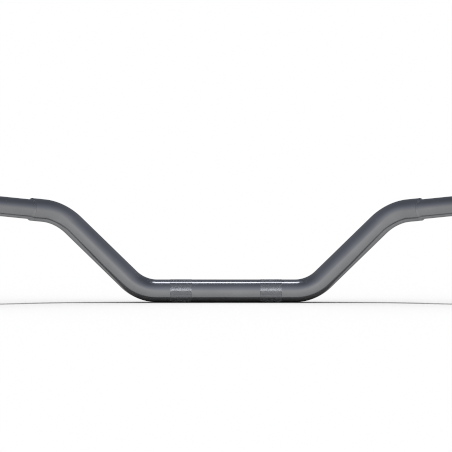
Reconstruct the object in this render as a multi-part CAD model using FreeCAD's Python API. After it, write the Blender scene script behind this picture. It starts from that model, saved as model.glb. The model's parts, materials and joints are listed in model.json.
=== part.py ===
"""Stepped motorcycle handlebar: a bent 25.4 mm main tube with two knurled clamp bands,
22.2 mm grip tubes spigoted and welded into its ends, and an expanding plug in each bar end.

Frame: millimetres, origin at the middle of the clamp section's axis, +X along the bar,
+Z up, the rider on the -Y side. The risers stand upright in the XZ plane.
"""

import FreeCAD, Part
import math
import os

# Tubes
MAIN_R = 25.4 / 2
MAIN_WALL = 2.0
GRIP_R = 22.2 / 2
GRIP_WALL = 2.0
MAIN_BORE_R = MAIN_R - MAIN_WALL
GRIP_BORE_R = GRIP_R - GRIP_WALL

# Shape of the centre line, from the middle to one bar end
CENTRE_STRAIGHT = 153.0
LOWER_BEND_R = 45.5
RISER_ANGLE = 44.25
RISER_STRAIGHT = 86.2
UPPER_BEND_R = 49.5
SHOULDER_STRAIGHT = 15.9
PULLBACK_ANGLE = 29.0
RISE_ANGLE = 6.1
GRIP_LENGTH = 205.0

# Knurled clamp bands
CLAMP_SPACING = 100.5
BAND_WIDTH = 24.2
BAND_R = MAIN_R + 0.2
BAND_CHAMFER = 0.2

# Joint between the main tube and a grip tube
SPIGOT_LENGTH = 15.0
SPIGOT_R = MAIN_BORE_R - 0.05
EDGE_BREAK = 0.3
WELD_LENGTH = 3.3
WELD_FACE_LENGTH = 2.1
WELD_CREST_R = MAIN_R - 0.3
WELD_TOE_R = GRIP_R + 0.1
WELD_ROOT_R = GRIP_R - 0.3

# Expanding plug, measured along the bar end's axis from the tube's end face
CAP_FLANGE = 5.0
CAP_EDGE = 1.5
CAP_PILOT_LENGTH = 8.0
CAP_PILOT_R = GRIP_BORE_R - 0.1
SCREW_HOLE_R = 3.2
COUNTERBORE_R = 5.9
HEAD_SINK = 0.3
WASHER_R = 5.5
WASHER_THICK = 1.6
SCREW_R = 3.0
SCREW_LENGTH = 45.0
HEAD_R = 5.0
HEAD_HEIGHT = 6.0
HEAD_CHAMFER = 0.5
SOCKET_ACROSS_FLATS = 5.0
SOCKET_DEPTH = 3.0
SLEEVE_LENGTH = 22.0
SLEEVE_BORE_R = 3.4
CONE_SMALL_R = 5.0
CONE_LARGE_R = 8.6
CONE_LENGTH = 10.0
CONE_ENTRY = 8.0
NUT_RIM = 4.0
NUT_BORE_R = SCREW_R + 0.05

SIDES = {"left": -1, "right": 1}


def direction(rise, pullback, side):
    """Unit vector that leans up by rise and back towards the rider by pullback, in degrees."""
    up = math.radians(rise)
    back = math.radians(pullback)
    level = math.cos(up)
    return FreeCAD.Vector(side * level * math.cos(back), -level * math.sin(back), math.sin(up))


def annulus(centre, normal, outer_r, inner_r):
    """Flat ring face that a tube's section is swept from."""
    rim = Part.Wire(Part.Circle(centre, normal, outer_r).toShape())
    bore = Part.Wire(Part.Circle(centre, normal, inner_r).toShape())
    return Part.Face(rim).cut(Part.Face(bore)).Faces[0]


def bend(start, heading, turned_heading, radius):
    """Centre, axis and angle of the arc that turns one heading into the other."""
    axis = heading.cross(turned_heading).normalize()
    centre = start + axis.cross(heading) * radius
    angle = math.degrees(heading.getAngle(turned_heading))
    return centre, axis, angle


def turn(point, centre, axis, angle):
    """Point carried round an axis by an angle in degrees."""
    return centre + FreeCAD.Rotation(axis, angle).multVec(point - centre)


def centre_line(side):
    """Stations and bends of one half of the bar, from the centre straight to the bar end."""
    level = FreeCAD.Vector(side, 0, 0)
    riser = direction(RISER_ANGLE, 0, side)
    grip = direction(RISE_ANGLE, PULLBACK_ANGLE, side)
    lower_start = level * (CENTRE_STRAIGHT / 2)
    lower = bend(lower_start, level, riser, LOWER_BEND_R)
    riser_start = turn(lower_start, *lower)
    upper_start = riser_start + riser * RISER_STRAIGHT
    upper = bend(upper_start, riser, grip, UPPER_BEND_R)
    upper_end = turn(upper_start, *upper)
    shoulder = upper_end + grip * SHOULDER_STRAIGHT
    return {
        "level": level,
        "riser": riser,
        "grip": grip,
        "lower_start": lower_start,
        "lower": lower,
        "riser_start": riser_start,
        "upper_start": upper_start,
        "upper": upper,
        "upper_end": upper_end,
        "shoulder": shoulder,
        "bar_end": shoulder + grip * GRIP_LENGTH,
    }


def turned(outline, origin, axis):
    """Solid of revolution from (distance along the axis, radius) points."""
    points = [FreeCAD.Vector(radius, 0, along) for along, radius in outline]
    face = Part.Face(Part.makePolygon(points + points[:1]))
    solid = face.revolve(FreeCAD.Vector(), FreeCAD.Vector(0, 0, 1), 360)
    turn_to_axis = FreeCAD.Rotation(FreeCAD.Vector(0, 0, 1), axis)
    solid.Placement = FreeCAD.Placement(origin, turn_to_axis)
    return Part.Solid(solid)


def clamp_section():
    """Centre straight with the two raised bands that the clamps bite on."""
    outline = [(-CENTRE_STRAIGHT / 2, MAIN_BORE_R), (-CENTRE_STRAIGHT / 2, MAIN_R)]
    for middle in (-CLAMP_SPACING / 2, CLAMP_SPACING / 2):
        low = middle - BAND_WIDTH / 2
        high = middle + BAND_WIDTH / 2
        outline += [(low, MAIN_R), (low + BAND_CHAMFER, BAND_R)]
        outline += [(high - BAND_CHAMFER, BAND_R), (high, MAIN_R)]
    outline += [(CENTRE_STRAIGHT / 2, MAIN_R), (CENTRE_STRAIGHT / 2, MAIN_BORE_R)]
    return turned(outline, FreeCAD.Vector(), FreeCAD.Vector(1, 0, 0))


def riser_half(line):
    """Bends and straights of the main tube on one side, up to the shoulder."""
    lower_face = annulus(line["lower_start"], line["level"], MAIN_R, MAIN_BORE_R)
    riser_face = annulus(line["riser_start"], line["riser"], MAIN_R, MAIN_BORE_R)
    upper_face = annulus(line["upper_start"], line["riser"], MAIN_R, MAIN_BORE_R)
    end_outline = [
        (0, MAIN_BORE_R),
        (0, MAIN_R),
        (SHOULDER_STRAIGHT - EDGE_BREAK, MAIN_R),
        (SHOULDER_STRAIGHT, MAIN_R - EDGE_BREAK),
        (SHOULDER_STRAIGHT, MAIN_BORE_R),
    ]
    return [
        lower_face.revolve(*line["lower"]),
        riser_face.extrude(line["riser"] * RISER_STRAIGHT),
        upper_face.revolve(*line["upper"]),
        turned(end_outline, line["upper_end"], line["grip"]),
    ]


def main_tube(lines):
    """The 25.4 mm tube from shoulder to shoulder, in one piece."""
    pieces = [piece for line in lines for piece in riser_half(line)]
    return clamp_section().multiFuse(pieces).removeSplitter().Solids[0]


def grip_tube(line):
    """22.2 mm tube with a spigot that slides into the main tube and a shallow seat for the weld."""
    outline = [
        (-SPIGOT_LENGTH, GRIP_BORE_R),
        (-SPIGOT_LENGTH, SPIGOT_R - EDGE_BREAK),
        (-SPIGOT_LENGTH + EDGE_BREAK, SPIGOT_R),
        (0, SPIGOT_R),
        (0, WELD_ROOT_R),
        (WELD_LENGTH, WELD_ROOT_R),
        (WELD_LENGTH, GRIP_R),
        (GRIP_LENGTH - EDGE_BREAK, GRIP_R),
        (GRIP_LENGTH, GRIP_R - EDGE_BREAK),
        (GRIP_LENGTH, GRIP_BORE_R),
    ]
    return turned(outline, line["shoulder"], line["grip"])


def shoulder_weld(line):
    """Weld bead with a steep face beside the main tube's end and a thin toe on the grip tube."""
    outline = [
        (0, WELD_ROOT_R),
        (0, WELD_CREST_R),
        (WELD_FACE_LENGTH, WELD_TOE_R),
        (WELD_LENGTH, GRIP_R),
        (WELD_LENGTH, WELD_ROOT_R),
    ]
    return turned(outline, line["shoulder"], line["grip"])


def end_cap(line):
    """Flanged cap with a pilot in the tube and a counterbore for the screw head."""
    floor = CAP_FLANGE - HEAD_SINK - HEAD_HEIGHT - WASHER_THICK
    outline = [
        (-CAP_PILOT_LENGTH, SCREW_HOLE_R),
        (-CAP_PILOT_LENGTH, CAP_PILOT_R - EDGE_BREAK),
        (-CAP_PILOT_LENGTH + EDGE_BREAK, CAP_PILOT_R),
        (0, CAP_PILOT_R),
        (0, GRIP_R),
        (CAP_FLANGE - CAP_EDGE, GRIP_R),
        (CAP_FLANGE, GRIP_R - CAP_EDGE),
        (CAP_FLANGE, COUNTERBORE_R + EDGE_BREAK),
        (CAP_FLANGE - EDGE_BREAK, COUNTERBORE_R),
        (floor, COUNTERBORE_R),
        (floor, SCREW_HOLE_R),
    ]
    return turned(outline, line["bar_end"], line["grip"])


def washer(line):
    """Plain washer under the screw head."""
    top = CAP_FLANGE - HEAD_SINK - HEAD_HEIGHT
    bottom = top - WASHER_THICK
    outline = [(bottom, SCREW_HOLE_R), (bottom, WASHER_R), (top, WASHER_R), (top, SCREW_HOLE_R)]
    return turned(outline, line["bar_end"], line["grip"])


def cap_screw(line):
    """M6 socket head screw; the thread is a plain cylinder at its nominal size."""
    top = CAP_FLANGE - HEAD_SINK
    seat = top - HEAD_HEIGHT
    tip = seat - SCREW_LENGTH
    outline = [
        (tip, 0),
        (tip, SCREW_R - HEAD_CHAMFER),
        (tip + HEAD_CHAMFER, SCREW_R),
        (seat, SCREW_R),
        (seat, HEAD_R),
        (top - HEAD_CHAMFER, HEAD_R),
        (top, HEAD_R - HEAD_CHAMFER),
        (top, 0),
    ]
    body = turned(outline, line["bar_end"], line["grip"])
    corner_r = SOCKET_ACROSS_FLATS / 2 / math.cos(math.radians(30))
    corners = [FreeCAD.Vector(corner_r, 0, top - SOCKET_DEPTH)]
    spin = FreeCAD.Rotation(FreeCAD.Vector(0, 0, 1), 60)
    for _ in range(6):
        corners.append(spin.multVec(corners[-1]))
    hexagon = Part.Face(Part.makePolygon(corners[:6] + corners[:1]))
    socket = hexagon.extrude(FreeCAD.Vector(0, 0, 2 * SOCKET_DEPTH))
    socket.Placement = body_placement(line)
    return body.cut(socket).Solids[0]


def body_placement(line):
    """Placement that carries the plug's own Z axis onto the bar end's axis."""
    rotation = FreeCAD.Rotation(FreeCAD.Vector(0, 0, 1), line["grip"])
    return FreeCAD.Placement(line["bar_end"], rotation)


def expander_sleeve(line):
    """Rubber sleeve pressed out against the tube wall, with a mouth that fits the wedge nut."""
    near = -CAP_PILOT_LENGTH
    far = near - SLEEVE_LENGTH
    slope = (CONE_LARGE_R - CONE_SMALL_R) / CONE_LENGTH
    outline = [
        (near, SLEEVE_BORE_R),
        (near, GRIP_BORE_R),
        (far, GRIP_BORE_R),
        (far, CONE_SMALL_R + slope * CONE_ENTRY),
        (far + CONE_ENTRY, CONE_SMALL_R),
        (far + CONE_ENTRY, SLEEVE_BORE_R),
    ]
    return turned(outline, line["bar_end"], line["grip"])


def wedge_nut(line):
    """Cone-shaped nut that the screw draws into the sleeve."""
    front = -CAP_PILOT_LENGTH - SLEEVE_LENGTH + CONE_ENTRY
    cone_end = front - CONE_LENGTH
    back = cone_end - NUT_RIM
    outline = [
        (front, NUT_BORE_R),
        (front, CONE_SMALL_R),
        (cone_end, CONE_LARGE_R),
        (back + EDGE_BREAK, CONE_LARGE_R),
        (back, CONE_LARGE_R - EDGE_BREAK),
        (back, NUT_BORE_R),
    ]
    return turned(outline, line["bar_end"], line["grip"])


def side_pieces(name, line):
    """Every piece that exists once on each side of the bar."""
    return {
        f"{name}_grip_tube": grip_tube(line),
        f"{name}_shoulder_weld": shoulder_weld(line),
        f"{name}_end_cap": end_cap(line),
        f"{name}_cap_washer": washer(line),
        f"{name}_cap_screw": cap_screw(line),
        f"{name}_expander_sleeve": expander_sleeve(line),
        f"{name}_wedge_nut": wedge_nut(line),
    }


def build():
    lines = {name: centre_line(side) for name, side in SIDES.items()}
    nodes = {"main_tube": main_tube(list(lines.values()))}
    for name, line in lines.items():
        nodes.update(side_pieces(name, line))
    os.makedirs("parts", exist_ok=True)
    for node, shape in nodes.items():
        shape.exportStep(f"parts/{node}.step")


build()
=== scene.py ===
"""Looks of the stepped handlebar: dense swept tubes, knurled clamp bands, shoulder welds and
the plugs in the bar ends, in satin grey steel on a white studio floor.

Everything is placed along the bar's centre line. A station is a distance along it, in metres,
from the middle of the clamp section: negative to the left, positive to the right.
"""

import json
import math

import bmesh
import bpy
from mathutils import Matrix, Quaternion, Vector


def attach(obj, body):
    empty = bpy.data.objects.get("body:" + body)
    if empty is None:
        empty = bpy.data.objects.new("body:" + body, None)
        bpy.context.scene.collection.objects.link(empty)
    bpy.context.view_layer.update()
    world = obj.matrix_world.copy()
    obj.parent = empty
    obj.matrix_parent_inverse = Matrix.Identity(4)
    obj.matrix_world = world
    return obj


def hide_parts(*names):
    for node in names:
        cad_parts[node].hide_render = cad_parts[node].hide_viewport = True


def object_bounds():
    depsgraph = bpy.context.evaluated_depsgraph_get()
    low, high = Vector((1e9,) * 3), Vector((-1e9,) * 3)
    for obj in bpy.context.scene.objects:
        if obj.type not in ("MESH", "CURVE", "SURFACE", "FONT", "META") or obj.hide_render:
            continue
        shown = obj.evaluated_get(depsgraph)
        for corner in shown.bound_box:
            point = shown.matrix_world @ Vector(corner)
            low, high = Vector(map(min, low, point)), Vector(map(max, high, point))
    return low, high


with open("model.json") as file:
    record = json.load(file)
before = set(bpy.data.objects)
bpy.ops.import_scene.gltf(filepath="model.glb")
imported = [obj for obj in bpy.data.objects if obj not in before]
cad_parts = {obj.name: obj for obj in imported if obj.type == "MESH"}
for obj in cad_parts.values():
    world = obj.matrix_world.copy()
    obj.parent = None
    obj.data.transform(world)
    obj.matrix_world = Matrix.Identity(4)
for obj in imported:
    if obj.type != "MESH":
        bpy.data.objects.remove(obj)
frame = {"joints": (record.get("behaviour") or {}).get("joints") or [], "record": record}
cad_low, cad_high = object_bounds()

MM = 0.001
UP = Vector((0, 0, 1))
RIDER = Vector((0, -1, 0))
MOUNTS = {mount["name"]: mount for mount in frame["record"]["mounts"]}
JOINTS = {joint["name"]: joint for joint in frame["joints"]}
SIDES = {"left": -1, "right": 1}

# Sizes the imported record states
MAIN_R = MOUNTS["centre_section"]["dims"]["r_mm"] * MM
GRIP_R = MOUNTS["grip_right"]["dims"]["r_mm"] * MM
BAND_R = MOUNTS["clamp_right"]["dims"]["r_mm"] * MM
BAND_MIDDLE = MOUNTS["clamp_right"]["pos_m"][0]
GRIP_AXIS = Vector(JOINTS["right_screw_turn"]["axis"]).normalized()

# Shape of the centre line, as the CAD model has it
CENTRE_HALF = 76.5 * MM
LOWER_BEND_R = 45.5 * MM
RISER_ANGLE = math.radians(44.25)
RISER_STRAIGHT = 86.2 * MM
UPPER_BEND_R = 49.5 * MM
SHOULDER_STRAIGHT = 15.9 * MM
GRIP_LENGTH = 205.0 * MM
WALL = 2.0 * MM
MAIN_BORE_R = MAIN_R - WALL
GRIP_BORE_R = GRIP_R - WALL

RISER_AXIS = Vector((math.cos(RISER_ANGLE), 0, math.sin(RISER_ANGLE)))
UPPER_TURN = RISER_AXIS.angle(GRIP_AXIS)
UPPER_BEND_AXIS = RISER_AXIS.cross(GRIP_AXIS).normalized()
LOWER_ARC = LOWER_BEND_R * RISER_ANGLE
UPPER_ARC = UPPER_BEND_R * UPPER_TURN
RISER_START = CENTRE_HALF + LOWER_ARC
UPPER_START = RISER_START + RISER_STRAIGHT
UPPER_END = UPPER_START + UPPER_ARC
SHOULDER = UPPER_END + SHOULDER_STRAIGHT
TUBE_END = SHOULDER + GRIP_LENGTH

# Fineness of the meshes
SECTION_POINTS = 96
BEND_STEP = 1.5 * MM
GRIP_STEP = 4.0 * MM
BAND_STEP = 2.0 * MM
SHARP_ANGLE = math.radians(28)
ROUND = [2 * math.pi * k / SECTION_POINTS for k in range(SECTION_POINTS)]


# ---------------------------------------------------------------- geometry


def place(station):
    """Point, up vector and rider-side vector of the bar's section at a station."""
    side = -1 if station < 0 else 1
    reach = abs(station)
    lower = min(max(reach - CENTRE_HALF, 0) / LOWER_BEND_R, RISER_ANGLE)
    upper = min(max(reach - UPPER_START, 0) / UPPER_BEND_R, UPPER_TURN)
    point = Vector((min(reach, CENTRE_HALF), 0, 0))
    point += LOWER_BEND_R * Vector((math.sin(lower), 0, 1 - math.cos(lower)))
    point += RISER_AXIS * min(max(reach - RISER_START, 0), RISER_STRAIGHT)
    towards = UPPER_BEND_AXIS.cross(RISER_AXIS)
    point += UPPER_BEND_R * (RISER_AXIS * math.sin(upper) + towards * (1 - math.cos(upper)))
    point += GRIP_AXIS * max(reach - UPPER_END, 0)
    turn = Quaternion(UPPER_BEND_AXIS, upper) @ Quaternion(RIDER, lower)
    up = turn @ UP
    rider = turn @ RIDER
    mirror = Vector((side, 1, 1))
    return point * mirror, up * mirror, rider * mirror


def spread(start, end, gap):
    """Stations from start to end, both kept, no further apart than gap."""
    count = max(1, math.ceil(abs(end - start) / gap))
    return [start + (end - start) * i / count for i in range(count + 1)]


def rounded(outline, radius, steps=4):
    """Closed outline of (station, radius) points with each corner turned into a small curve."""
    result = []
    count = len(outline)
    for i, corner in enumerate(outline):
        here = Vector(corner)
        before = Vector(outline[i - 1]) - here
        after = Vector(outline[(i + 1) % count]) - here
        cut_before = min(radius, before.length / 2)
        cut_after = min(radius, after.length / 2)
        first = here + before.normalized() * cut_before
        last = here + after.normalized() * cut_after
        for k in range(steps + 1):
            t = k / steps
            result.append(first * (1 - t) ** 2 + here * 2 * t * (1 - t) + last * t ** 2)
    return [tuple(point) for point in result]


def skin(name, rings, angles=ROUND, closed=True):
    """Closed mesh through rings of (station, radius or radius function of the angle).

    A closed outline joins its last ring to its first; an open one ends on the axis.
    Each vertex keeps its straightened place in the attribute rod, for the materials.
    """
    points = len(angles)
    mesh = bpy.data.meshes.new(name)
    build = bmesh.new()
    rod = build.verts.layers.float_vector.new("rod")
    loops = []
    for station, radius in rings:
        centre, up, rider = place(station)
        loop = []
        for angle in angles:
            reach = radius(angle) if callable(radius) else radius
            spoke = up * math.cos(angle) + rider * math.sin(angle)
            vertex = build.verts.new(centre + spoke * reach)
            vertex[rod] = (reach * math.cos(angle), reach * math.sin(angle), station)
            loop.append(vertex)
        loops.append(loop)
    pairs = list(zip(loops, loops[1:]))
    if closed:
        pairs.append((loops[-1], loops[0]))
    for near, far in pairs:
        for k in range(points):
            after = (k + 1) % points
            build.faces.new((near[k], near[after], far[after], far[k]))
    if not closed:
        for loop, (station, _) in ((loops[0], rings[0]), (loops[-1], rings[-1])):
            hub = build.verts.new(place(station)[0])
            hub[rod] = (0, 0, station)
            for k in range(points):
                build.faces.new((loop[k], loop[(k + 1) % points], hub))
    bmesh.ops.recalc_face_normals(build, faces=build.faces)
    build.to_mesh(mesh)
    build.free()
    mesh.shade_smooth()
    mesh.set_sharp_from_angle(angle=SHARP_ANGLE)
    piece = bpy.data.objects.new(name, mesh)
    bpy.context.scene.collection.objects.link(piece)
    return piece


def finish_piece(piece, body, nodes, material):
    """Puts a piece on its body, in place of its CAD nodes, with its material."""
    piece.data.materials.append(material)
    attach(piece, body)
    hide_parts(*nodes)


# ---------------------------------------------------------------- materials


def node_maker(tree):
    """Function that adds a node to a tree, with its inputs linked or set."""

    def node(kind, inputs=None, **settings):
        made = tree.nodes.new(kind)
        for key, value in settings.items():
            setattr(made, key, value)
        for key, value in (inputs or {}).items():
            if isinstance(value, bpy.types.NodeSocket):
                tree.links.new(value, made.inputs[key])
            else:
                made.inputs[key].default_value = value
        return made

    return node


def begin(name):
    """New node material: its node tree, its surface shader and a node maker."""
    material = bpy.data.materials.new(name)
    material.use_nodes = True
    tree = material.node_tree
    return material, tree, tree.nodes["Principled BSDF"], node_maker(tree)


def maths(node, operation, *values):
    """Result of a maths node on its one or two values."""
    return node("ShaderNodeMath", dict(enumerate(values)), operation=operation).outputs[0]


def ranged(node, value, before, after, kind="LINEAR"):
    """Value mapped from the range before to the range after, and held at its ends."""
    limits = {"Value": value, "From Min": before[0], "From Max": before[1]}
    limits.update({"To Min": after[0], "To Max": after[1]})
    return node("ShaderNodeMapRange", limits, interpolation_type=kind).outputs["Result"]


# A Mix node's sockets for colours
MIX_FIRST = 6
MIX_SECOND = 7
MIX_RESULT = 2


def blended(node, factor, first, second):
    """Colour from first to second, as the factor goes from 0 to 1."""
    mix = node("ShaderNodeMix", {"Factor": factor}, data_type="RGBA")
    mix.inputs[MIX_FIRST].default_value = first
    mix.inputs[MIX_SECOND].default_value = second
    return mix.outputs[MIX_RESULT]


def noise(node, scale, detail, roughness=0.55):
    """Noise from 0 to 1 in the straightened bar, scaled across its section and along it."""
    rod = node("ShaderNodeAttribute", attribute_name="rod").outputs["Vector"]
    scaled = node("ShaderNodeMapping", {"Vector": rod, "Scale": scale}).outputs["Vector"]
    inputs = {"Vector": scaled, "Scale": 1.0, "Detail": detail, "Roughness": roughness}
    return node("ShaderNodeTexNoise", inputs).outputs["Fac"]


# Range that holds nearly all the values of a noise
NOISE_RANGE = (0.3, 0.7)

# Slow changes over a metal: their scale, and how far they take its colour and its roughness
PATCH_SCALE = (70, 70, 35)
PATCH_SHADE = 0.05
PATCH_ROUGHNESS = 0.03

# Brightness of a metal's reflection at a glancing angle
EDGE_TINT = 0.45


def metal(name, colour, roughness, grain, grain_depth):
    """Polished metal with a fine lay: slow changes of tone, and grain in roughness and bump."""
    material, tree, surface, node = begin(name)
    slow = noise(node, PATCH_SCALE, detail=3)
    lay = noise(node, grain, detail=5, roughness=0.6)
    dark = [c * (1 - PATCH_SHADE) for c in colour] + [1]
    light = [c * (1 + PATCH_SHADE) for c in colour] + [1]
    tone = blended(node, ranged(node, slow, NOISE_RANGE, (0, 1)), dark, light)
    limits = (roughness - PATCH_ROUGHNESS, roughness + PATCH_ROUGHNESS)
    patchy = ranged(node, slow, NOISE_RANGE, limits)
    grainy = ranged(node, lay, NOISE_RANGE, (-PATCH_ROUGHNESS, PATCH_ROUGHNESS))
    bump = node("ShaderNodeBump", {"Height": lay, "Strength": 1.0, "Distance": grain_depth})
    tree.links.new(tone, surface.inputs["Base Color"])
    tree.links.new(maths(node, "ADD", patchy, grainy), surface.inputs["Roughness"])
    tree.links.new(bump.outputs["Normal"], surface.inputs["Normal"])
    surface.inputs["Metallic"].default_value = 1.0
    surface.inputs["Specular Tint"].default_value = (EDGE_TINT, EDGE_TINT, EDGE_TINT, 1)
    return material


RUBBER_DARK = (0.012, 0.012, 0.013, 1)
RUBBER_LIGHT = (0.035, 0.035, 0.036, 1)
RUBBER_ROUGHNESS = (0.6, 0.85)
RUBBER_GRAIN = (900, 900, 900)
RUBBER_GRAIN_DEPTH = 0.03 * MM


def rubber(name):
    """Matt black rubber with a faint moulded grain."""
    material, tree, surface, node = begin(name)
    mottle = noise(node, RUBBER_GRAIN, detail=6)
    tone = blended(node, mottle, RUBBER_DARK, RUBBER_LIGHT)
    roughness = ranged(node, mottle, NOISE_RANGE, RUBBER_ROUGHNESS)
    bump = node("ShaderNodeBump", {"Height": mottle, "Strength": 1.0, "Distance": RUBBER_GRAIN_DEPTH})
    tree.links.new(tone, surface.inputs["Base Color"])
    tree.links.new(roughness, surface.inputs["Roughness"])
    tree.links.new(bump.outputs["Normal"], surface.inputs["Normal"])
    return material


# Flanks of the knurl's serrations: their tilt from the surface, the share of it they cover seen
# straight on, their colour painted brighter than plain steel as a painted highlight, and how fast they
# hide behind the crests
FLANK_TILT = math.radians(53)
FLANK_SHARE = 0.30
FLANK_PAINTED_GLINT = 3.2
FLANK_HIDING = 7.0
FLANK_ROUGHNESS = 0.22


def serrate(material, colour):
    """Splits a metal's surface into the crests and the two flanks of serrations along x.

    The flanks sink out of sight behind the crests where the surface turns away; their colour is
    painted brighter than the steel, a painted highlight.
    """
    tree = material.node_tree
    node = node_maker(tree)

    def vector(operation, first, second):
        return node("ShaderNodeVectorMath", {0: first, 1: second}, operation=operation).outputs

    def scaled(direction, scale):
        inputs = {0: direction, "Scale": scale}
        return node("ShaderNodeVectorMath", inputs, operation="SCALE").outputs[0]

    geometry = node("ShaderNodeNewGeometry").outputs
    normal = geometry["Normal"]
    along = node("ShaderNodeCombineXYZ", {"X": 1.0}).outputs[0]
    across = vector("CROSS_PRODUCT", along, normal)[0]
    facing = vector("DOT_PRODUCT", normal, geometry["Incoming"])["Value"]
    share = maths(node, "MULTIPLY", maths(node, "POWER", facing, FLANK_HIDING), FLANK_SHARE)
    flanks = []
    for side in (-1, 1):
        upright = scaled(normal, math.cos(FLANK_TILT))
        sloped = scaled(across, side * math.sin(FLANK_TILT))
        inputs = {"Normal": vector("ADD", upright, sloped)[0], "Metallic": 1.0}
        inputs["Roughness"] = FLANK_ROUGHNESS
        # Flank colour painted brighter than the steel: painted highlight on the serrations
        inputs["Base Color"] = [c * FLANK_PAINTED_GLINT for c in colour] + [1]
        flanks.append(node("ShaderNodeBsdfPrincipled", inputs).outputs[0])
    flank = node("ShaderNodeMixShader", {0: 0.5, 1: flanks[0], 2: flanks[1]}).outputs[0]
    crest = tree.nodes["Principled BSDF"].outputs[0]
    whole = node("ShaderNodeMixShader", {0: share, 1: crest, 2: flank}).outputs[0]
    tree.links.new(whole, tree.nodes["Material Output"].inputs["Surface"])


STEEL = (0.253, 0.256, 0.264)
CREST_STEEL = (0.226, 0.229, 0.237)
CAP_GREY = (0.28, 0.28, 0.29)
FASTENER_GREY = (0.20, 0.20, 0.205)
BRASS = (0.60, 0.44, 0.20)

# Colour, roughness, grain's scale across the section and along the bar, grain's depth
MATERIALS = {
    "tube": metal("satin_steel_tube", STEEL, 0.16, (60, 60, 5000), 0.0015 * MM),
    "knurl": metal("satin_steel_knurl", CREST_STEEL, 0.12, (300, 300, 3000), 0.001 * MM),
    "weld": metal("satin_steel_weld", STEEL, 0.25, (400, 400, 1500), 0.002 * MM),
    "cap": metal("satin_cap", CAP_GREY, 0.24, (5000, 5000, 300), 0.002 * MM),
    "fastener": metal("fastener_steel", FASTENER_GREY, 0.28, (1500, 1500, 3000), 0.002 * MM),
    "brass": metal("turned_brass", BRASS, 0.25, (300, 300, 6000), 0.002 * MM),
    "rubber": rubber("sleeve_rubber"),
}
serrate(MATERIALS["knurl"], STEEL)


# ---------------------------------------------------------------- pieces

# Knurled clamp bands
BAND_WIDTH = 24.2 * MM
BAND_CHAMFER = 0.2 * MM
BAND_SEAT_R = MAIN_R - 0.35 * MM
BAND_INNER_R = BAND_SEAT_R - 0.2 * MM
GROOVES = 168
GROOVE_SHARE = 0.14
GROOVE_DEPTH = 0.07 * MM
GROOVE_RUN_OUT = 0.4 * MM
GROOVE_PITCH = 2 * math.pi / GROOVES

# Joint between the main tube and a grip tube
EDGE_BREAK = 0.3 * MM
SPIGOT_LENGTH = 15.0 * MM
SPIGOT_R = MAIN_BORE_R - 0.05 * MM
SEAM_DEPTH = 0.25 * MM
WELD_CREST_FROM_SEAM = 0.15 * MM
WELD_CREST_R = MAIN_R - 0.1 * MM
WELD_FACE_LENGTH = 2.1 * MM
WELD_TOE_R = GRIP_R + 0.1 * MM
WELD_LENGTH = 3.3 * MM
WELD_ROOT_R = GRIP_R - 0.3 * MM


def main_tube():
    """Bent tube from shoulder to shoulder, with a shallow seat under each knurled band."""
    start = -SHOULDER + SEAM_DEPTH
    outer = [(-SHOULDER, MAIN_R - SEAM_DEPTH), (start, MAIN_R)]
    for middle in (-BAND_MIDDLE, BAND_MIDDLE):
        low = middle - BAND_WIDTH / 2
        high = middle + BAND_WIDTH / 2
        outer += [(s, MAIN_R) for s in spread(start, low, BEND_STEP)[1:]]
        outer += [(low, BAND_SEAT_R), (high, BAND_SEAT_R), (high, MAIN_R)]
        start = high
    outer += [(s, MAIN_R) for s in spread(start, SHOULDER - SEAM_DEPTH, BEND_STEP)[1:]]
    outer.append((SHOULDER, MAIN_R - SEAM_DEPTH))
    bore = [(s, MAIN_BORE_R) for s in spread(SHOULDER, -SHOULDER, BEND_STEP)]
    piece = skin("main_tube_skin", outer + bore)
    finish_piece(piece, "bar", ["main_tube"], MATERIALS["tube"])


def knurl_angles():
    """Angles of each groove's first edge, root and last edge, and of the crest after it."""
    parts = (0.5 - GROOVE_SHARE / 2, 0.5, 0.5 + GROOVE_SHARE / 2, 1)
    return [(groove + part) * GROOVE_PITCH for groove in range(GROOVES) for part in parts]


def knurl_radius(depth):
    """Radius round a section whose straight V grooves are cut to depth."""

    def radius(angle):
        from_root = abs(angle / GROOVE_PITCH % 1 - 0.5) * 2 / GROOVE_SHARE
        return BAND_R - depth * max(0, 1 - from_root)

    return radius


def knurled_band(name, middle):
    """Raised band of straight serrations that run out at both ends."""
    low = middle - BAND_WIDTH / 2
    high = middle + BAND_WIDTH / 2
    first = low + BAND_CHAMFER
    last = high - BAND_CHAMFER
    full = knurl_radius(GROOVE_DEPTH)
    outline = [(low, BAND_INNER_R), (low, MAIN_R), (first, BAND_R)]
    outline += [(s, full) for s in spread(first + GROOVE_RUN_OUT, last - GROOVE_RUN_OUT, BAND_STEP)]
    outline += [(last, BAND_R), (high, MAIN_R), (high, BAND_INNER_R)]
    piece = skin(name, outline, knurl_angles())
    finish_piece(piece, "bar", ["main_tube"], MATERIALS["knurl"])


def grip_tube(name, side):
    """Thinner outer tube with its spigot and the seat under the weld."""
    spigot_end = SHOULDER - SPIGOT_LENGTH
    weld_end = SHOULDER + WELD_LENGTH
    outline = [(spigot_end, GRIP_BORE_R), (spigot_end, SPIGOT_R)]
    outline += [(SHOULDER, SPIGOT_R), (SHOULDER, WELD_ROOT_R)]
    outline += [(weld_end, WELD_ROOT_R), (weld_end, GRIP_R)]
    outline += [(s, GRIP_R) for s in spread(weld_end, TUBE_END - EDGE_BREAK, GRIP_STEP)[1:]]
    outline += [(TUBE_END, GRIP_R - EDGE_BREAK), (TUBE_END, GRIP_BORE_R)]
    piece = skin(f"{name}_grip_tube_skin", [(side * s, r) for s, r in outline])
    finish_piece(piece, "bar", [f"{name}_grip_tube"], MATERIALS["tube"])


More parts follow.
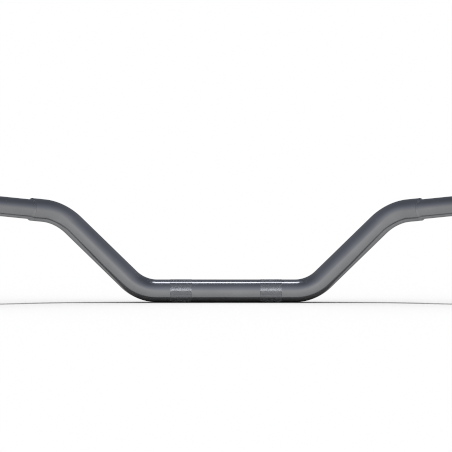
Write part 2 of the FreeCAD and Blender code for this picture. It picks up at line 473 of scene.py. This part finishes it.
def shoulder_weld(name, side):
    """Bead with a crest beside the seam, a steep face and a thin toe on the grip tube."""
    outline = [(0, WELD_ROOT_R), (0, MAIN_R - SEAM_DEPTH)]
    outline += [(WELD_CREST_FROM_SEAM, WELD_CREST_R), (WELD_FACE_LENGTH, WELD_TOE_R)]
    outline += [(WELD_LENGTH, GRIP_R), (WELD_LENGTH, WELD_ROOT_R)]
    piece = skin(f"{name}_shoulder_weld_skin", [(side * (SHOULDER + s), r) for s, r in outline])
    finish_piece(piece, "bar", [f"{name}_shoulder_weld"], MATERIALS["weld"])


for band_name, band_side in SIDES.items():
    knurled_band(f"{band_name}_knurled_band", band_side * BAND_MIDDLE)
    grip_tube(band_name, band_side)
    shoulder_weld(band_name, band_side)
main_tube()


# ---------------------------------------------------------------- plugs in the bar ends

# Sizes along the axis are measured from the tube's end face
CAP_FLANGE = 5.0 * MM
CAP_EDGE = 1.5 * MM
PILOT = 8.0 * MM
PILOT_R = GRIP_BORE_R - 0.1 * MM
HOLE_R = 3.2 * MM
COUNTERBORE_R = 5.9 * MM
HEAD_SINK = 0.3 * MM
WASHER_THICK = 1.6 * MM
WASHER_R = 5.5 * MM
HEAD_HEIGHT = 6.0 * MM
HEAD_R = 5.0 * MM
HEAD_CHAMFER = 0.5 * MM
HEAD_ROUND = 0.15 * MM
UNDERHEAD = 0.2 * MM
NECK = 6.0 * MM
SCREW_R = 3.0 * MM
SCREW_LENGTH = 45.0 * MM
POINT_R = SCREW_R - 0.9 * MM
POINT_LENGTH = 0.3 * MM
PITCH = 1.0 * MM
THREAD_DEPTH = 0.55 * MM
THREAD_RUN_OUT = 0.6 * MM
THREAD_STEP = PITCH / 6
SOCKET_FLATS = 5.0 * MM
SOCKET_DEPTH = 3.0 * MM
SOCKET_MOUTH_R = 3.05 * MM
SOCKET_CHAMFER = 0.2 * MM
DRILL_DEPTH = 1.2 * MM
DRILL_POINT_R = 0.3 * MM
SLEEVE_LENGTH = 22.0 * MM
SLEEVE_BORE_R = 3.4 * MM
SLEEVE_ROUND = 0.4 * MM
CONE_SMALL_R = 5.0 * MM
CONE_LARGE_R = 8.6 * MM
CONE_LENGTH = 10.0 * MM
CONE_ENTRY = 8.0 * MM
NUT_RIM = 4.0 * MM
NUT_BORE_R = SCREW_R + 0.05 * MM
FINE_ROUND = 0.15 * MM
HEAD_TOP = CAP_FLANGE - HEAD_SINK
HEAD_SEAT = HEAD_TOP - HEAD_HEIGHT
CAP_FLOOR = HEAD_SEAT - WASHER_THICK


def on_end(outline, side):
    """Outline given from the tube's end face, moved to its stations."""
    return [(side * (TUBE_END + along), radius) for along, radius in outline]


def end_cap(name, side):
    """Flanged cap with a counterbore for the screw head."""
    outline = [(-PILOT, HOLE_R), (-PILOT, PILOT_R - EDGE_BREAK), (-PILOT + EDGE_BREAK, PILOT_R)]
    outline += [(0, PILOT_R), (0, GRIP_R), (CAP_FLANGE - CAP_EDGE, GRIP_R)]
    outline += [(CAP_FLANGE, GRIP_R - CAP_EDGE), (CAP_FLANGE, COUNTERBORE_R + EDGE_BREAK)]
    outline += [(CAP_FLANGE - EDGE_BREAK, COUNTERBORE_R), (CAP_FLOOR, COUNTERBORE_R)]
    outline += [(CAP_FLOOR, HOLE_R)]
    piece = skin(f"{name}_end_cap_skin", on_end(rounded(outline, FINE_ROUND, 3), side))
    finish_piece(piece, "bar", [f"{name}_end_cap"], MATERIALS["cap"])


def cap_washer(name, side):
    """Plain washer under the screw head."""
    outline = [(CAP_FLOOR, HOLE_R), (CAP_FLOOR, WASHER_R)]
    outline += [(HEAD_SEAT, WASHER_R), (HEAD_SEAT, HOLE_R)]
    piece = skin(f"{name}_cap_washer_skin", on_end(rounded(outline, FINE_ROUND, 3), side))
    finish_piece(piece, "bar", [f"{name}_cap_washer"], MATERIALS["fastener"])


def hexagon(angle):
    """Radius round the screw's hexagon socket."""
    off_flat = (angle + math.pi / 6) % (math.pi / 3) - math.pi / 6
    return SOCKET_FLATS / 2 / math.cos(off_flat)


def thread(along, side):
    """Radius round the shank at a distance along it, with a right-hand thread."""

    def radius(angle):
        phase = (along / PITCH + side * angle / (2 * math.pi)) % 1
        return SCREW_R - THREAD_DEPTH * abs(2 * phase - 1)

    return radius


def cap_screw(name, side):
    """Socket head screw with a cut thread."""
    tip = HEAD_SEAT - SCREW_LENGTH
    neck = HEAD_SEAT - NECK
    turns = spread(tip + THREAD_RUN_OUT, neck - THREAD_RUN_OUT, THREAD_STEP)
    socket_floor = HEAD_TOP - SOCKET_DEPTH
    outline = [(tip, POINT_R), (tip + POINT_LENGTH, SCREW_R - THREAD_DEPTH)]
    outline += [(s, thread(s, side)) for s in turns]
    outline += [(neck, SCREW_R), (HEAD_SEAT - UNDERHEAD, SCREW_R), (HEAD_SEAT, SCREW_R + UNDERHEAD)]
    outline += [(HEAD_SEAT, HEAD_R - UNDERHEAD), (HEAD_SEAT + UNDERHEAD, HEAD_R)]
    outline += [(HEAD_TOP - HEAD_CHAMFER, HEAD_R), (HEAD_TOP - HEAD_ROUND, HEAD_R - UNDERHEAD)]
    outline += [(HEAD_TOP, HEAD_R - HEAD_CHAMFER), (HEAD_TOP, SOCKET_MOUTH_R)]
    outline += [(HEAD_TOP - SOCKET_CHAMFER, hexagon), (socket_floor, hexagon)]
    outline += [(socket_floor - DRILL_DEPTH, DRILL_POINT_R)]
    piece = skin(f"{name}_cap_screw_skin", on_end(outline, side), closed=False)
    finish_piece(piece, f"{name}_screw", [f"{name}_cap_screw"], MATERIALS["fastener"])


def expander_sleeve(name, side):
    """Rubber sleeve with a mouth for the wedge nut."""
    near = -PILOT
    far = near - SLEEVE_LENGTH
    mouth_r = CONE_SMALL_R + (CONE_LARGE_R - CONE_SMALL_R) * CONE_ENTRY / CONE_LENGTH
    outline = [(near, SLEEVE_BORE_R), (near, GRIP_BORE_R), (far, GRIP_BORE_R), (far, mouth_r)]
    outline += [(far + CONE_ENTRY, CONE_SMALL_R), (far + CONE_ENTRY, SLEEVE_BORE_R)]
    piece = skin(f"{name}_expander_sleeve_skin", on_end(rounded(outline, SLEEVE_ROUND), side))
    finish_piece(piece, "bar", [f"{name}_expander_sleeve"], MATERIALS["rubber"])


def wedge_nut(name, side):
    """Cone-shaped nut."""
    front = -PILOT - SLEEVE_LENGTH + CONE_ENTRY
    cone_end = front - CONE_LENGTH
    back = cone_end - NUT_RIM
    outline = [(front, NUT_BORE_R), (front, CONE_SMALL_R), (cone_end, CONE_LARGE_R)]
    outline += [(back + EDGE_BREAK, CONE_LARGE_R), (back, CONE_LARGE_R - EDGE_BREAK)]
    outline += [(back, NUT_BORE_R)]
    piece = skin(f"{name}_wedge_nut_skin", on_end(rounded(outline, FINE_ROUND, 3), side))
    finish_piece(piece, f"{name}_nut", [f"{name}_wedge_nut"], MATERIALS["brass"])


for end_name, end_side in SIDES.items():
    for make in (end_cap, cap_washer, cap_screw, expander_sleeve, wedge_nut):
        make(end_name, end_side)


# ---------------------------------------------------------------- studio

FLOOR_HALF = 24.0
FLOOR_TONE = 0.8

# Painted contact shade: how far the floor's colour darkens by its ambient occlusion towards the bar,
# seen directly and mirrored in the metal
CONTACT_REACH = 1.0
CONTACT_SAMPLES = 16
CONTACT_SHADE = 0.8
MIRRORED_SHADE = 0.40

# Painted shade in the mirrored floor: how far its colour darkens for rays along x and for steep rays
FLOOR_SIDE_FALL = 0.16
FLOOR_STEEP_FALL = 0.07

# Light that comes from all round, as a share of all the light on the floor
AMBIENT_SHARE = 0.35
SUN_WIDTH = math.radians(7.5)
SUN_LEAN = math.radians(4.3)


def floor():
    """Large pale floor at the bar's lowest point, with painted shade towards the bar, deeper and with
    more painted shade along x and down steep rays where the metal mirrors it.
    """
    mesh = bpy.data.meshes.new("studio_floor")
    corners = [(x * FLOOR_HALF, y * FLOOR_HALF, 0) for x, y in ((-1, -1), (1, -1), (1, 1), (-1, 1))]
    mesh.from_pydata(corners, [], [(0, 1, 2, 3)])
    plane = bpy.data.objects.new("studio_floor", mesh)
    plane.location.z = cad_low.z
    bpy.context.scene.collection.objects.link(plane)
    material, tree, surface, node = begin("pale_floor")
    incoming = node("ShaderNodeNewGeometry").outputs["Incoming"]
    axes = node("ShaderNodeSeparateXYZ", {"Vector": incoming}).outputs
    inputs = {"Distance": CONTACT_REACH}
    openness = node("ShaderNodeAmbientOcclusion", inputs, samples=CONTACT_SAMPLES).outputs["AO"]
    # Painted contact shade: the floor's colour darkens with its ambient occlusion
    seen = ranged(node, openness, (0, 1), (FLOOR_TONE * (1 - CONTACT_SHADE), FLOOR_TONE))
    reflected = ranged(node, openness, (0, 1), (FLOOR_TONE * (1 - MIRRORED_SHADE), FLOOR_TONE))
    # Painted shade in the floor's reflection: darker for rays along x and for steep rays
    sideways = maths(node, "ABSOLUTE", axes["X"])
    for slope, fall in ((sideways, FLOOR_SIDE_FALL), (axes["Z"], FLOOR_STEEP_FALL)):
        reflected = maths(node, "MULTIPLY", reflected, ranged(node, slope, (0, 1), (1, 1 - fall)))
    mirrored = node("ShaderNodeLightPath").outputs["Is Glossy Ray"]
    tone = node("ShaderNodeMix", {0: mirrored, 2: seen, 3: reflected}).outputs[0]
    tree.links.new(tone, surface.inputs["Base Color"])
    surface.inputs["Roughness"].default_value = 1.0
    surface.inputs["Specular IOR Level"].default_value = 0.0
    mesh.materials.append(material)


def overhead_light():
    """Key light from straight above, which shadows the floor and isn't mirrored in the metal."""
    lamp = bpy.data.lights.new("overhead", "SUN")
    lamp.energy = (1 - AMBIENT_SHARE) * math.pi / FLOOR_TONE
    lamp.angle = SUN_WIDTH
    lamp_object = bpy.data.objects.new("overhead", lamp)
    lamp_object.rotation_euler.x = -SUN_LEAN
    lamp_object.visible_glossy = False
    bpy.context.scene.collection.objects.link(lamp_object)


# Studio walls as the metal mirrors them: white at the horizon, a darker and bluer grey overhead,
# by degrees above the horizon
SKY = (
    (0, (1.0, 1.0, 1.02)),
    (5, (0.97, 0.98, 1.02)),
    (25, (0.66, 0.69, 0.79)),
    (58, (0.32, 0.345, 0.41)),
    (90, (0.31, 0.33, 0.40)),
)

# How far the mirrored studio darkens to the sides, by the height of the direction
SKY_SIDE_SPAN = 0.25
SKY_HEIGHTS = (0.3, 0.7)
SKY_SIDE_FALLS = (0.20, 0.27)

# Soft box overhead, as the metal mirrors it
STRIP_GLOW = 4.4
STRIP_COLOUR = (0.93, 0.95, 1.0, 1)
STRIP_LEAN = math.radians(5.1)
STRIP_HALF_DEPTH = math.radians(6.9)
STRIP_HALF_LENGTH = math.radians(8.0)
STRIP_EDGE = math.radians(1.0)
WHITE = (1, 1, 1, 1)


def studio_world():
    """White to the camera, an even glow on the floor, and a soft-box room in the metal."""
    world = bpy.data.worlds.new("studio")
    world.use_nodes = True
    world.cycles.sampling_method = "NONE"
    tree = world.node_tree
    tree.nodes.clear()
    node = node_maker(tree)

    def window(angle, half):
        """1 where an angle is within half of nothing, falling to 0 over the strip's soft edge."""
        edge = (half + STRIP_EDGE / 2, half - STRIP_EDGE / 2)
        return ranged(node, maths(node, "ABSOLUTE", angle), edge, (0, 1), "SMOOTHSTEP")

    def background(colour, strength):
        inputs = {"Color": colour, "Strength": strength}
        return node("ShaderNodeBackground", inputs).outputs[0]

    direction = node("ShaderNodeTexCoord").outputs["Generated"]
    axes = node("ShaderNodeSeparateXYZ", {"Vector": direction}).outputs
    ramp = node("ShaderNodeValToRGB", {"Fac": axes["Z"]})
    stops = ramp.color_ramp.elements
    stops.remove(stops[1])
    for degrees, colour in SKY:
        stop = stops[0] if degrees == 0 else stops.new(math.sin(math.radians(degrees)))
        stop.color = (*colour, 1)
    aside = maths(node, "ABSOLUTE", axes["X"])
    aside = ranged(node, aside, (0, SKY_SIDE_SPAN), (0, 1), "SMOOTHSTEP")
    fall = ranged(node, axes["Z"], SKY_HEIGHTS, SKY_SIDE_FALLS)
    evenness = maths(node, "SUBTRACT", 1, maths(node, "MULTIPLY", aside, fall))
    room = background(ramp.outputs["Color"], evenness)
    across = maths(node, "SUBTRACT", maths(node, "ARCTAN2", axes["Y"], axes["Z"]), STRIP_LEAN)
    along = maths(node, "ARCSINE", axes["X"])
    strip = maths(node, "MULTIPLY", window(across, STRIP_HALF_DEPTH), window(along, STRIP_HALF_LENGTH))
    box = background(STRIP_COLOUR, maths(node, "MULTIPLY", strip, STRIP_GLOW))
    mirrored = node("ShaderNodeAddShader", {0: room, 1: box}).outputs[0]
    ambient = background(WHITE, AMBIENT_SHARE / FLOOR_TONE)
    backdrop = background(WHITE, 1.0)
    rays = node("ShaderNodeLightPath").outputs
    inputs = {0: rays["Is Glossy Ray"], 1: ambient, 2: mirrored}
    bounced = node("ShaderNodeMixShader", inputs).outputs[0]
    inputs = {0: rays["Is Camera Ray"], 1: bounced, 2: backdrop}
    seen = node("ShaderNodeMixShader", inputs).outputs[0]
    node("ShaderNodeOutputWorld", {"Surface": seen})
    bpy.context.scene.world = world


CAMERA_DISTANCE = 16.8
CAMERA_ELEVATION = math.radians(2.2)
FRAME_WIDTH = 0.5039
AIM = Vector((0, 0, 0.0723))
SENSOR_WIDTH = 36.0
CLIP_START = 1.0
CLIP_END = 100.0


def camera():
    """Long lens from the rider's side, a little above the bar."""
    lens = bpy.data.cameras.new("camera")
    lens.sensor_width = SENSOR_WIDTH
    lens.lens = SENSOR_WIDTH * CAMERA_DISTANCE / FRAME_WIDTH
    lens.clip_start = CLIP_START
    lens.clip_end = CLIP_END
    eye = bpy.data.objects.new("camera", lens)
    back = Vector((0, -math.cos(CAMERA_ELEVATION), math.sin(CAMERA_ELEVATION)))
    eye.location = AIM + back * CAMERA_DISTANCE
    eye.rotation_euler = (-back).to_track_quat("-Z", "Y").to_euler()
    bpy.context.scene.collection.objects.link(eye)
    bpy.context.scene.camera = eye


floor()
overhead_light()
studio_world()
camera()
bpy.context.scene.view_settings.view_transform = "Standard"
bpy.context.scene.cycles.pixel_filter_type = "BOX"
